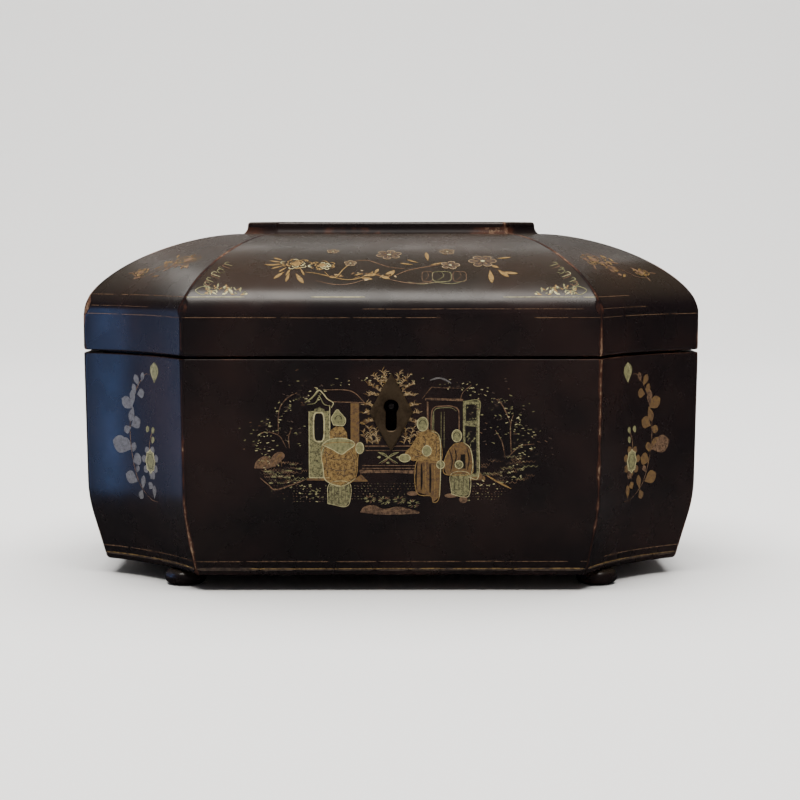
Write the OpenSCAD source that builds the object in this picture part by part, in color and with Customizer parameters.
// A lacquered wooden tea caddy with hollow corners, a domed lid on two butt hinges, a box lock, bun feet and
// two pewter canisters. Millimetres, +Z up, the front faces -Y, and the origin lies on the table at the
// middle of the plan.
//
// The plan is a rectangle whose corners are hollow arcs. Every wall is drawn as a chain of [inset, height]
// points, where inset is how far the point lies inside the widest outline, and is then swept along one face
// of the plan. The faces meet in mitres, as the boards do.

/* [Case] */
// Width over the side faces at the seam
case_w = 232; // [224:1:244]
// Depth over the front and back faces at the seam
case_d = 172; // [168:1:180]
// Height of the wall boards
case_h = 79.2; // [77:0.2:84]
// Height of the bun feet
foot_h = 5.6; // [5:0.2:8]
// Thickness of the wall boards
wall = 8; // [8:0.1:8.6]
// Length that a hollow corner takes off the faces beside it
corner_cut = 41; // [38:0.5:42]
// Radius of the hollow corner faces
corner_r = 92; // [90:1:110]
// Open line between case and lid
seam_gap = 1; // [0.9:0.1:1.2]

/* [Lid] */
// Height of the upright rails
rail_h = 15; // [14:0.5:18]
// Rise of the dome above the rails
dome_rise = 28.6; // [27:0.2:32]
// Inset at which the dome is level
dome_run = 57; // [56:0.5:58]
// Power of the dome's curve, where 2 is an ellipse
dome_power = 1.68; // [1.6:0.02:2]
// Thickness of the dome boards
dome_wall = 5; // [4.6:0.1:5.4]
// Height of the raised plinth on top
plinth_h = 4.6; // [4:0.2:5.6]

/* [Canisters] */
// Width of one canister
can_w = 90; // [84:1:90]
// Depth of one canister
can_d = 130; // [120:1:130]
// Height of its shoulder above its base
can_h = 64; // [60:0.5:64]
// Thickness of the pewter sheet
pewter = 1.6; // [1.2:0.1:1.8]

/* [Hidden] */
$fn = 64;
eps = 0.01;

half_w = case_w/2;
half_d = case_d/2;
// How far the centre of a corner's arc lies outside both faces
corner_off = (sqrt(2*pow(corner_r, 2) - pow(corner_cut, 2)) - corner_cut)/2;
corner_steps = 8;

base_z = foot_h;
seam_z = base_z + case_h;
lid_z = seam_z + seam_gap;
shoulder_z = lid_z + rail_h;
dome_z = shoulder_z + dome_rise;
plinth_z = dome_z + plinth_h;

upper_lean = 0.015;      // how the walls lean in below the seam
knee_z = base_z + 24;    // height where they turn in more steeply
knee_lean = 0.25;
knee_blend = 7;
foot_edge_r = 2;         // round of the case's bottom edge
seam_edge_r = 0.8;       // round of the edges beside the seam
floor_t = 6;
floor_z = base_z + floor_t;
fit_gap = 0.05;          // glue line round the bottom board and the rim lining

lining_t = 2;
lining_z = seam_z - 18;
lining_rise = 4;         // the lining stands this far above the seam and guides the lid
lid_wall = wall - 0.5;

lacquer = [0.09, 0.07, 0.07];
inner_lacquer = [0.16, 0.05, 0.03];
bronze = [0.3, 0.23, 0.16];
brass = [0.55, 0.43, 0.24];
steel = [0.45, 0.45, 0.47];
pewter_grey = [0.62, 0.62, 0.6];

// ---- the plan -------------------------------------------------------------------------------------------

// Distance from a face's corner of the full rectangle to the ridge, at an inset
function reach(t) = sqrt(pow(corner_r + t, 2) - pow(corner_off + t, 2)) - corner_off;

// Points of the plan at inset t, where s runs from -1 to 1 anticlockwise along one face
function right_face(t, s) = [half_w - t, s*(half_d - reach(t))];
function back_face(t, s) = [-s*(half_w - reach(t)), half_d - t];
function corner_turn(t) = 45 - atan((corner_off + t)/(corner_off + reach(t)));
function corner_face(t, s) = let (a = 225 - s*corner_turn(t))
    [half_w + corner_off + (corner_r + t)*cos(a), half_d + corner_off + (corner_r + t)*sin(a)];

function quarter_outline(t) = [for (k = [0:corner_steps]) corner_face(t, 2*k/corner_steps - 1)];
function backwards(list) = [for (k = [len(list) - 1:-1:0]) list[k]];
function flipped(list, fx, fy) = [for (p = list) [fx*p.x, fy*p.y]];
function outline(t) = let (q = quarter_outline(t)) concat(
    q, backwards(flipped(q, -1, 1)), flipped(q, -1, -1), backwards(flipped(q, 1, -1)));

// ---- the sweep ------------------------------------------------------------------------------------------

// Solid between an outer and an inner chain of [inset, height] points, along a face of the plan. Both ends
// are split along the same diagonals, so that neighbours meet face to face.
module swept(outer, inner, face, steps = 1) {
    n = len(outer);
    loop = concat(outer, backwards(inner));
    points = [for (j = [0:steps], p = loop) let (q = face(p[0], 2*j/steps - 1)) [q.x, q.y, p[1]]];
    function at(j, i) = j*2*n + i % (2*n);
    function within(j, i) = at(j, 2*n - 1 - i);
    skin = [for (j = [0:steps - 1], i = [0:2*n - 1], half = [0, 1])
        half == 0 ? [at(j, i), at(j, i + 1), at(j + 1, i + 1)] : [at(j, i), at(j + 1, i + 1), at(j + 1, i)]];
    near_end = [for (i = [0:n - 2], half = [0, 1])
        half == 0 ? [within(0, i + 1), at(0, i + 1), at(0, i)] : [within(0, i), within(0, i + 1), at(0, i)]];
    far_end = [for (i = [0:n - 2], half = [0, 1]) half == 0
        ? [at(steps, i), at(steps, i + 1), within(steps, i + 1)]
        : [at(steps, i), within(steps, i + 1), within(steps, i)]];
    polyhedron(points, concat(skin, near_end, far_end), convexity = 4);
}

module back_sweep(chains) swept(chains[0], chains[1], function (t, s) back_face(t, s));
module front_sweep(chains) mirror([0, 1, 0]) back_sweep(chains);
module right_sweep(chains) swept(chains[0], chains[1], function (t, s) right_face(t, s));
module left_sweep(chains) mirror([1, 0, 0]) right_sweep(chains);
module corner_sweep(chains) swept(chains[0], chains[1], function (t, s) corner_face(t, s), corner_steps);
module corner_at(side, end) mirror([side < 0 ? 1 : 0, 0, 0]) mirror([0, end < 0 ? 1 : 0, 0]) children();

// A solid plate between two heights, filling the plan at the insets given
module filled(low, high) {
    below = outline(low[0]);
    above = outline(high[0]);
    n = len(below);
    points = concat([for (p = below) [p.x, p.y, low[1]]], [for (p = above) [p.x, p.y, high[1]]]);
    sides = [for (i = [0:n - 1], half = [0, 1]) let (k = (i + 1) % n)
        half == 0 ? [i, i + n, k + n] : [i, k + n, k]];
    lower_face = [for (i = [0:n - 1]) i];
    upper_face = [for (i = [n - 1:-1:0]) i + n];
    polyhedron(points, concat(sides, [lower_face], [upper_face]), convexity = 4);
}

// ---- chains of the case and lid -------------------------------------------------------------------------

function knee(z) = z > knee_z + knee_blend ? 0
    : z < knee_z - knee_blend ? knee_lean*(knee_z - z)
    : knee_lean*pow(knee_z + knee_blend - z, 2)/(4*knee_blend);
function case_inset(z) = upper_lean*(seam_z - z) + knee(z);

// A rounded lower or upper outer edge: points round a quarter circle whose side touches the inset given
function low_round(inset, z, r, steps = 3) = [for (k = [0:steps]) let (a = 90 - 90*k/steps)
    [inset + r - r*cos(a), z + r - r*sin(a)]];
function high_round(inset, z, r, steps = 2) = [for (k = [0:steps]) let (a = 90*k/steps)
    [inset + r - r*cos(a), z - r + r*sin(a)]];

knee_steps = 6;
case_outer = concat(
    low_round(case_inset(base_z + foot_edge_r), base_z, foot_edge_r),
    [for (k = [0:knee_steps]) let (z = knee_z - knee_blend + 2*knee_blend*k/knee_steps) [case_inset(z), z]],
    high_round(case_inset(seam_z - seam_edge_r), seam_z, seam_edge_r));
case_inner = [for (p = case_outer) [case_inset(p[1]) + wall, p[1]]];
case_chains = [case_outer, case_inner];

rail_outer = concat(low_round(0, lid_z, seam_edge_r, 2), [[0, shoulder_z]]);
rail_chains = [rail_outer, [for (p = rail_outer) [lid_wall, p[1]]]];

// The dome is a superellipse; the inner chain lies dome_wall inside it along its normal
dome_steps = 12;
dome_k = 2 - 2/dome_power;
function dome_point(a) =
    [dome_run*(1 - pow(cos(a), 2/dome_power)), shoulder_z + dome_rise*pow(sin(a), 2/dome_power)];
function dome_normal(a) = let (n = [dome_rise*pow(cos(a), dome_k), dome_run*pow(sin(a), dome_k)]) n/norm(n);
dome_angles = [for (k = [0:dome_steps]) 90*k/dome_steps];
dome_outer = [for (a = dome_angles) dome_point(a)];
dome_inner = [for (a = dome_angles) let (n = dome_normal(a)) dome_point(a) + dome_wall*[n[0], -n[1]]];
dome_chains = [dome_outer, dome_inner];

// The plinth's moulding: a cove, a short lip and a rounded top edge
plinth_run = dome_run - 0.8;
cove_r = 2.8;
lip_r = 1.4;
moulding_w = 10;
cove_steps = 5;
plinth_outer = concat(
    [[plinth_run, dome_z]],
    [for (k = [0:cove_steps]) let (a = 90*k/cove_steps)
        [plinth_run + cove_r*sin(a), plinth_z - lip_r - 0.3 - cove_r*cos(a)]],
    high_round(plinth_run + cove_r, plinth_z, lip_r, 3));
plinth_inner = [for (p = plinth_outer) [plinth_run + moulding_w, p[1]]];
plinth_chains = [plinth_outer, plinth_inner];
panel_drop = 0.6;

lining_in = wall + fit_gap;
lining_outer = [[case_inset(lining_z) + lining_in, lining_z], [lining_in, seam_z],
    [lining_in, seam_z + lining_rise - 0.6], [lining_in + 0.6, seam_z + lining_rise]];
lining_chains = [lining_outer, [for (p = lining_outer) [p[0] + lining_t, p[1]]]];

// ---- lock, escutcheon and keyhole -----------------------------------------------------------------------

key_z = seam_z - 17;       // centre of the keyhole's round
keyhole_r = 2.6;
key_slot_w = 3.8;
key_slot_h = 8.6;
lozenge_w = 15.8;
lozenge_h = 28.4;
lozenge_z = seam_z - 19;
lozenge_proud = 0.8;
lozenge_sunk = 0.4;
lozenge_bevel = 0.45;
face_tilt = atan(upper_lean);

lock_w = 34;
plate_w = 44;
plate_t = 1.2;
lock_low = seam_z - 29;
lock_inner = half_d - wall;              // y of the wall's inner face, without its sign
lock_plate_y = lock_inner + plate_t;
lock_outer = lock_inner + 6;
cap_t = 0.8;
lock_top = seam_z - plate_t;
hook_x = 8;
hook_y = lock_inner + 3.3;
hook_w = 2.6;
hook_t = 1.6;
hook_h = 7;
eye_z = lid_z - hook_h + 1.9;
eye_r = 0.8;
finger_r = 0.6;
bolt_t = 1.6;
bolt_low = eye_z - 6.4;
bolt_high = eye_z - 2.3;
screw_xs = [-19.5, 19.5];
screw_zs = [lock_low + 4, lock_top - 5];

// Everything at the lock is drawn with y counted outward from the middle, then turned to the front
module to_front() mirror([0, 1, 0]) children();
module along_y(x, z, r, from, to) translate([x, from, z]) rotate([-90, 0, 0]) cylinder(r = r, h = to - from);
module slab(x0, x1, y0, y1, z0, z1) translate([x0, y0, z0]) cube([x1 - x0, y1 - y0, z1 - z0]);

module keyhole(from, to) {
    along_y(0, key_z, keyhole_r, from, to);
    slab(-key_slot_w/2, key_slot_w/2, from, to, key_z - key_slot_h, key_z);
}

module lozenge(shrink, y0, y1) translate([0, y1, 0]) rotate([90, 0, 0]) linear_extrude(y1 - y0)
    polygon([[0, lozenge_h/2 - 1.8*shrink], [-lozenge_w/2 + shrink, 0], [0, -lozenge_h/2 + 1.8*shrink],
        [lozenge_w/2 - shrink, 0]]);

// Places an upright flat thing on the leaning front face at the escutcheon's height
module on_face()
    translate([0, half_d - case_inset(lozenge_z), lozenge_z]) rotate([face_tilt, 0, 0]) children();

// ---- hinges ---------------------------------------------------------------------------------------------

hinge_xs = [-56, 56];
hinge_y = half_d + 0.6;
hinge_z = seam_z + seam_gap/2;
leaf_w = 26;
leaf_in = 7;                 // how far a leaf reaches over the board's edge
leaf_t = 1;
knuckle_r = 1.9;
knuckle_room = 2.2;
pin_r = 0.8;
pin_play = 0.05;
mid_knuckle = 8.6;
knuckle_play = 0.3;
knuckle_end = mid_knuckle/2 + knuckle_play;
leaf_screw_xs = [-8.5, 0, 8.5];

module along_x(x0, x1, y, z, r) translate([x0, y, z]) rotate([0, 90, 0]) cylinder(r = r, h = x1 - x0);
module at_hinges() for (x = hinge_xs) translate([x, 0, 0]) children();
module knuckle(x0, x1) along_x(x0, x1, hinge_y, hinge_z, knuckle_r);
module hinge_room() at_hinges() along_x(-leaf_w/2 - 0.3, leaf_w/2 + 0.3, hinge_y, hinge_z, knuckle_room);
module leaf_slab(z0) at_hinges() slab(-leaf_w/2, leaf_w/2, half_d - leaf_in, half_d + 1, z0, z0 + leaf_t);

// Countersunk screws as groups: head flush at z, shank into the wood below it
module leaf_screw_group(z, up) at_hinges() for (x = leaf_screw_xs)
    translate([x, half_d - leaf_in/2, z]) mirror([0, 0, up ? 0 : 1]) screw(1.5, 0.8, 0.75, 7);
module screw(head_r, head_h, shank_r, length) rotate_extrude()
    polygon([[0, 0], [head_r, 0], [shank_r, head_h], [shank_r, length - 1.2], [0, length]]);
module screw_hole(head_r, head_h, shank_r) rotate_extrude()
    polygon([[0, -eps], [head_r, -eps], [head_r, 0], [shank_r, head_h], [shank_r, 5], [0, 5]]);
module leaf_holes(z, up) at_hinges() for (x = leaf_screw_xs)
    translate([x, half_d - leaf_in/2, z]) mirror([0, 0, up ? 0 : 1]) screw_hole(1.5, 0.8, 0.75);
module leaf_bores(z, up) at_hinges() for (x = leaf_screw_xs)
    translate([x, half_d - leaf_in/2, z]) mirror([0, 0, up ? 0 : 1]) cylinder(r = 0.75, h = 7);

// ---- case -----------------------------------------------------------------------------------------------

module front_board() color(lacquer) difference() {
    front_sweep(case_chains);
    to_front() {
        slab(-plate_w/2, plate_w/2, lock_inner - 3, lock_plate_y, lock_low, lock_top);
        slab(-plate_w/2, plate_w/2, lock_inner - 3, lock_outer - 0.8, lock_top, seam_z + 1);
        slab(-lock_w/2, lock_w/2, lock_plate_y - 1, lock_outer, lock_low + 2, lock_top + eps);
        keyhole(lock_outer - 1, half_d + 1);
        for (x = screw_xs, z = screw_zs) along_y(x, z, 0.9, lock_plate_y - eps, lock_plate_y + 3.6);
        on_face() lozenge(0, -lozenge_sunk, 3);
    }
}
module back_board() color(lacquer) difference() {
    back_sweep(case_chains);
    leaf_slab(seam_z - leaf_t);
    hinge_room();
    leaf_bores(seam_z, false);
}
module left_board() color(lacquer) left_sweep(case_chains);
module right_board() color(lacquer) right_sweep(case_chains);
module corner_board(side, end) color(lacquer) difference() {
    corner_at(side, end) corner_sweep(case_chains);
    translate([side*foot_x, end*foot_y, base_z - 1]) cylinder(r = peg_r, h = peg_h + 1);
}
module bottom_board() color(inner_lacquer) filled(
    [case_inset(base_z) + wall + fit_gap, base_z], [case_inset(floor_z) + wall + fit_gap, floor_z]);
module rim_lining() color(inner_lacquer) {
    front_sweep(lining_chains);
    back_sweep(lining_chains);
    left_sweep(lining_chains);
    right_sweep(lining_chains);
    for (side = [-1, 1], end = [-1, 1]) corner_at(side, end) corner_sweep(lining_chains);
}

partition_t = 3;
partition_top = lining_z - 2;
module partition() {
    heights = [floor_z, knee_z - knee_blend, knee_z, knee_z + knee_blend, partition_top];
    edge = [for (z = heights) [half_d - case_inset(z) - wall - 0.15, z]];
    color(inner_lacquer) translate([-partition_t/2, 0, 0]) rotate([90, 0, 90]) linear_extrude(partition_t)
        polygon(concat(edge, backwards(flipped(edge, -1, 1))));
}

// Turned bun feet, glued by a peg into the corner boards
foot_x = half_w - 39.6;
foot_y = half_d - 23.6;
foot_r = 7.6;
foot_flat = 4.8;
peg_r = 2.2;
peg_h = 4;
foot_round = (pow(foot_r - foot_flat, 2) + pow(foot_h/2, 2))/(2*(foot_r - foot_flat)); // radius of the bulge
module foot(side, end) color(lacquer) translate([side*foot_x, end*foot_y, 0]) {
    rotate_extrude() union() {
        intersection() {
            translate([foot_r - foot_round, foot_h/2]) circle(r = foot_round);
            translate([foot_flat - eps, 0]) square([foot_r, foot_h]);
        }
        square([foot_flat, foot_h]);
    }
    cylinder(r = peg_r, h = foot_h + peg_h);
}

// ---- lock -----------------------------------------------------------------------------------------------

module escutcheon() color(bronze) to_front() difference() {
    on_face() {
        lozenge(0, -lozenge_sunk, lozenge_proud - lozenge_bevel);
        hull() {
            lozenge(0, lozenge_proud - lozenge_bevel - eps, lozenge_proud - lozenge_bevel);
            lozenge(0.7, lozenge_proud - eps, lozenge_proud);
        }
    }
    keyhole(lock_outer - 1, half_d + 3);
}
module lock_plate() color(brass) to_front() difference() {
    union() {
        slab(-plate_w/2, plate_w/2, lock_inner, lock_plate_y, lock_low, seam_z);
        slab(-plate_w/2, plate_w/2, lock_inner, lock_outer - 0.8, lock_top, seam_z);
    }
    for (x = [-hook_x, hook_x]) slab(x - hook_t/2 - 0.4, x + hook_t/2 + 0.4,
        hook_y - hook_w/2 - 0.4, hook_y + hook_w/2 + 0.4, lock_top - 1, seam_z + 1);
    for (x = screw_xs, z = screw_zs)
        translate([x, lock_inner, z]) rotate([-90, 0, 0]) screw_hole(1.8, 0.9, 0.9);
}
module lock_cap() color(brass) to_front() difference() {
    slab(-lock_w/2, lock_w/2, lock_plate_y, lock_outer, lock_low + 2, lock_top);
    slab(-lock_w/2 + cap_t, lock_w/2 - cap_t, lock_plate_y - 1, lock_outer - cap_t,
        lock_low + 2 + cap_t, lock_top + 1);
    keyhole(lock_outer - 2, lock_outer + 1);
}
module lock_drill_pin() color(steel) to_front() along_y(0, key_z, 1, lock_plate_y, lock_outer - 0.1);
module lock_screws() color(brass) to_front() for (x = screw_xs, z = screw_zs)
    translate([x, lock_inner, z]) rotate([-90, 0, 0]) screw(1.8, 0.9, 0.9, plate_t + 3.6);

// A flat bolt that slides along X, with a finger for each hook's eye and a notch for the key's bit
bolt_throw = 4;
bolt_left = -hook_x - 7;
bolt_right = 10;
module lock_bolt() color(steel) to_front() difference() {
    union() {
        slab(bolt_left, bolt_right, hook_y - bolt_t/2, hook_y + bolt_t/2, bolt_low, bolt_high);
        for (x = [-hook_x, hook_x]) {
            slab(x - 7, x - 6, hook_y - bolt_t/2, hook_y + bolt_t/2, bolt_high - eps, eye_z + finger_r);
            along_x(x - 6 - eps, x - hook_t/2 - 1, hook_y, eye_z, finger_r);
        }
    }
    slab(-5, 1, hook_y - 2, hook_y + 2, bolt_low - 1, bolt_low + 1.6);
}

// A bent leaf spring held in the cap's corner, which presses on the bolt's lower edge through its free end
spring_t = 0.4;
spring_x = lock_w/2 - cap_t - 0.1;       // where it stands against the cap's side
module lock_spring() color(steel) to_front()
    translate([0, hook_y + 0.6, 0]) rotate([90, 0, 0]) linear_extrude(1.2) polygon([
        [spring_x, key_z - 3], [spring_x, bolt_low - 3], [spring_x - 1.3, bolt_low - 1.2],
        [5.5, bolt_low - 0.3], [5.5, bolt_low - 0.3 - spring_t], [spring_x - 1.6, bolt_low - 1.2 - spring_t],
        [spring_x - spring_t, bolt_low - 3.2], [spring_x - spring_t, key_z - 3]]);

// ---- hinges as pieces -----------------------------------------------------------------------------------

module hinge_case_leaves() color(brass) difference() {
    union() {
        leaf_slab(seam_z - leaf_t);
        at_hinges() for (x0 = [-leaf_w/2, knuckle_end]) knuckle(x0, x0 + leaf_w/2 - knuckle_end);
    }
    at_hinges() along_x(-knuckle_end, knuckle_end, hinge_y, hinge_z, knuckle_room);
    at_hinges() along_x(-leaf_w, leaf_w, hinge_y, hinge_z, pin_r);
    at_hinges() slab(-leaf_w, leaf_w, hinge_y + eps, half_d + 9, seam_z - 3, hinge_z - knuckle_r);
    leaf_holes(seam_z, false);
}
module hinge_lid_leaves() color(brass) difference() {
    union() {
        leaf_slab(lid_z);
        at_hinges() knuckle(-mid_knuckle/2, mid_knuckle/2);
    }
    at_hinges() for (x0 = [-leaf_w/2 - 1, mid_knuckle/2])
        along_x(x0, x0 + leaf_w/2 + 1 - mid_knuckle/2, hinge_y, hinge_z, knuckle_room);
    at_hinges() along_x(-leaf_w, leaf_w, hinge_y, hinge_z, pin_r + pin_play);
    leaf_holes(lid_z, true);
}
module hinge_pins() color(steel) at_hinges() along_x(-leaf_w/2, leaf_w/2, hinge_y, hinge_z, pin_r);
module hinge_case_screws() color(brass) leaf_screw_group(seam_z, false);
module hinge_lid_screws() color(brass) leaf_screw_group(lid_z, true);

// ---- lid ------------------------------------------------------------------------------------------------

strike_w = 32;
strike_xs = [-12.5, 12.5];
module strike_slab(z1) to_front() slab(-strike_w/2, strike_w/2, hook_y - 2.4, hook_y + 2.4, lid_z - eps, z1);

module lid_front_rail() color(lacquer) difference() {
    front_sweep(rail_chains);
    strike_slab(lid_z + plate_t);
    to_front() for (x = strike_xs) translate([x, hook_y, lid_z]) cylinder(r = 0.7, h = 6);
}
module lid_back_rail() color(lacquer) difference() {
    back_sweep(rail_chains);
    leaf_slab(lid_z);
    hinge_room();
    leaf_bores(lid_z, true);
}
module lid_left_rail() color(lacquer) left_sweep(rail_chains);
module lid_right_rail() color(lacquer) right_sweep(rail_chains);
module lid_corner_rail(side, end) color(lacquer) corner_at(side, end) corner_sweep(rail_chains);
module lid_front_slope() color(lacquer) front_sweep(dome_chains);
module lid_back_slope() color(lacquer) back_sweep(dome_chains);
module lid_left_slope() color(lacquer) left_sweep(dome_chains);
module lid_right_slope() color(lacquer) right_sweep(dome_chains);
module lid_corner_slope(side, end) color(lacquer) corner_at(side, end) corner_sweep(dome_chains);
module lid_ceiling_board() color(inner_lacquer)
    translate([0, 0, dome_z - dome_wall]) linear_extrude(dome_wall) polygon(outline(dome_run + fit_gap));
module plinth_moulding() color(lacquer) {
    front_sweep(plinth_chains);
    back_sweep(plinth_chains);
    left_sweep(plinth_chains);
    right_sweep(plinth_chains);
    for (side = [-1, 1], end = [-1, 1]) corner_at(side, end) corner_sweep(plinth_chains);
}
module plinth_panel() color(lacquer) translate([0, 0, dome_z]) linear_extrude(plinth_h - panel_drop)
    polygon(outline(plinth_run + moulding_w + fit_gap));

// The plate under the lid's front rail, with two hooks whose eyes the bolt's fingers enter
module strike_plate() color(brass) to_front() difference() {
    union() {
        slab(-strike_w/2, strike_w/2, hook_y - 2.4, hook_y + 2.4, lid_z, lid_z + plate_t);
        for (x = [-hook_x, hook_x])
            slab(x - hook_t/2, x + hook_t/2, hook_y - hook_w/2, hook_y + hook_w/2,
                lid_z - hook_h, lid_z + eps);
    }
    for (x = [-hook_x, hook_x]) along_x(x - 2, x + 2, hook_y, eye_z, eye_r);
    for (x = strike_xs) translate([x, hook_y, lid_z]) screw_hole(1.3, 0.7, 0.7);
}
module strike_screws() color(brass) to_front() for (x = strike_xs)
    translate([x, hook_y, lid_z]) screw(1.3, 0.7, 0.7, 6);

// ---- canisters ------------------------------------------------------------------------------------------

can_x = 50.5;
can_cut = 30;                // length that the bevelled corners take off
can_z = floor_z + 0.2;
shoulder_top = can_z + can_h;
neck_r = 31;
neck_h = 8;
neck_top = shoulder_top + neck_h;
cap_in_r = neck_r + 0.5;
cap_wall = 1.5;
cap_low = shoulder_top + 0.6;
cap_ceiling = neck_top + 10.6;
cap_dome = 2.6;
cap_top = cap_ceiling + cap_wall;

function bevelled(w, d, cut) = [[w/2, d/2 - cut], [w/2 - cut, d/2], [-w/2 + cut, d/2], [-w/2, d/2 - cut],
    [-w/2, -d/2 + cut], [-w/2 + cut, -d/2], [w/2 - cut, -d/2], [w/2, -d/2 + cut]];
thin_cut = can_cut - pewter*(2 - sqrt(2));
module canister_inside(z, h) translate([0, 0, z]) linear_extrude(h)
    polygon(bevelled(can_w - 2*pewter, can_d - 2*pewter, thin_cut));
module at_canister(side) translate([side*can_x, 0, 0]) children();

module canister_body(side) color(pewter_grey) at_canister(side) difference() {
    translate([0, 0, can_z]) linear_extrude(can_h) polygon(bevelled(can_w, can_d, can_cut));
    canister_inside(can_z - 1, can_h + 1 - pewter);
    translate([0, 0, shoulder_top - 3]) cylinder(r = neck_r - pewter, h = 6);
}
module canister_base(side) color(pewter_grey) at_canister(side) canister_inside(can_z, pewter);
module canister_neck(side) color(pewter_grey) at_canister(side) translate([0, 0, shoulder_top]) difference() {
    cylinder(r = neck_r, h = neck_h);
    translate([0, 0, -1]) cylinder(r = neck_r - pewter, h = neck_h + 2);
}

// The outer cap: a skirt with a bead, a shallow dome and a turned knob
knob_r = 4.6;
module canister_cap(side) color(pewter_grey) at_canister(side) rotate_extrude() difference() {
    union() {
        translate([0, cap_low]) square([cap_in_r + cap_wall, cap_top - 0.8 - cap_low]);
        translate([0, cap_top - 0.9]) square([cap_in_r + cap_wall - 0.8, 0.9]);
        translate([cap_in_r + cap_wall, cap_low + 1]) circle(r = 0.9);
        translate([0, cap_top - eps]) square([22, 0.8]);
        translate([0, cap_top]) square([2.6, cap_dome + 1]);
        intersection() {
            translate([0, cap_top + cap_dome + 1.4]) circle(r = knob_r/1.6);
            square([knob_r, cap_top + cap_dome + 3.6]);
        }
    }
    translate([0, cap_low - 5]) square([cap_in_r, cap_ceiling - cap_low + 5]);
    translate([-50, 0]) square([50, 200]);
}

// The inner cover: a plug that fills the neck, a flange that rests on it and a small knob
cover_flange = 1;
module canister_cover(side) color(pewter_grey) at_canister(side) rotate_extrude() union() {
    translate([0, neck_top - 4]) square([neck_r - pewter - 0.4, 4.3]);
    translate([0, neck_top + 0.2]) square([neck_r - 0.4, cover_flange]);
    translate([0, neck_top + 1]) square([2, 3]);
    translate([0, neck_top + 3.4]) square([4, 1.8]);
}

// ---- the pieces -----------------------------------------------------------------------------------------

front_board();
back_board();
left_board();
right_board();
corner_board(-1, -1);  // front_left_corner_board
corner_board(1, -1);  // front_right_corner_board
corner_board(-1, 1);  // back_left_corner_board
corner_board(1, 1);  // back_right_corner_board
bottom_board();
rim_lining();
partition();
foot(-1, -1);  // front_left_foot
foot(1, -1);  // front_right_foot
foot(-1, 1);  // back_left_foot
foot(1, 1);  // back_right_foot
escutcheon();
lock_plate();
lock_cap();
lock_drill_pin();
lock_spring();
lock_screws();
lock_bolt();
hinge_case_leaves();
hinge_pins();
hinge_case_screws();
lid_front_rail();
lid_back_rail();
lid_left_rail();
lid_right_rail();
lid_corner_rail(-1, -1);  // lid_front_left_corner_rail
lid_corner_rail(1, -1);  // lid_front_right_corner_rail
lid_corner_rail(-1, 1);  // lid_back_left_corner_rail
lid_corner_rail(1, 1);  // lid_back_right_corner_rail
lid_front_slope();
lid_back_slope();
lid_left_slope();
lid_right_slope();
lid_corner_slope(-1, -1);  // lid_front_left_corner_slope
lid_corner_slope(1, -1);  // lid_front_right_corner_slope
lid_corner_slope(-1, 1);  // lid_back_left_corner_slope
lid_corner_slope(1, 1);  // lid_back_right_corner_slope
lid_ceiling_board();
plinth_moulding();
plinth_panel();
strike_plate();
strike_screws();
hinge_lid_leaves();
hinge_lid_screws();
canister_body(-1);  // left_canister_body
canister_base(-1);  // left_canister_base
canister_neck(-1);  // left_canister_neck
canister_cap(-1);  // left_canister_cap
canister_cover(-1);  // left_canister_cover
canister_body(1);  // right_canister_body
canister_base(1);  // right_canister_base
canister_neck(1);  // right_canister_neck
canister_cap(1);  // right_canister_cap
canister_cover(1);  // right_canister_cover
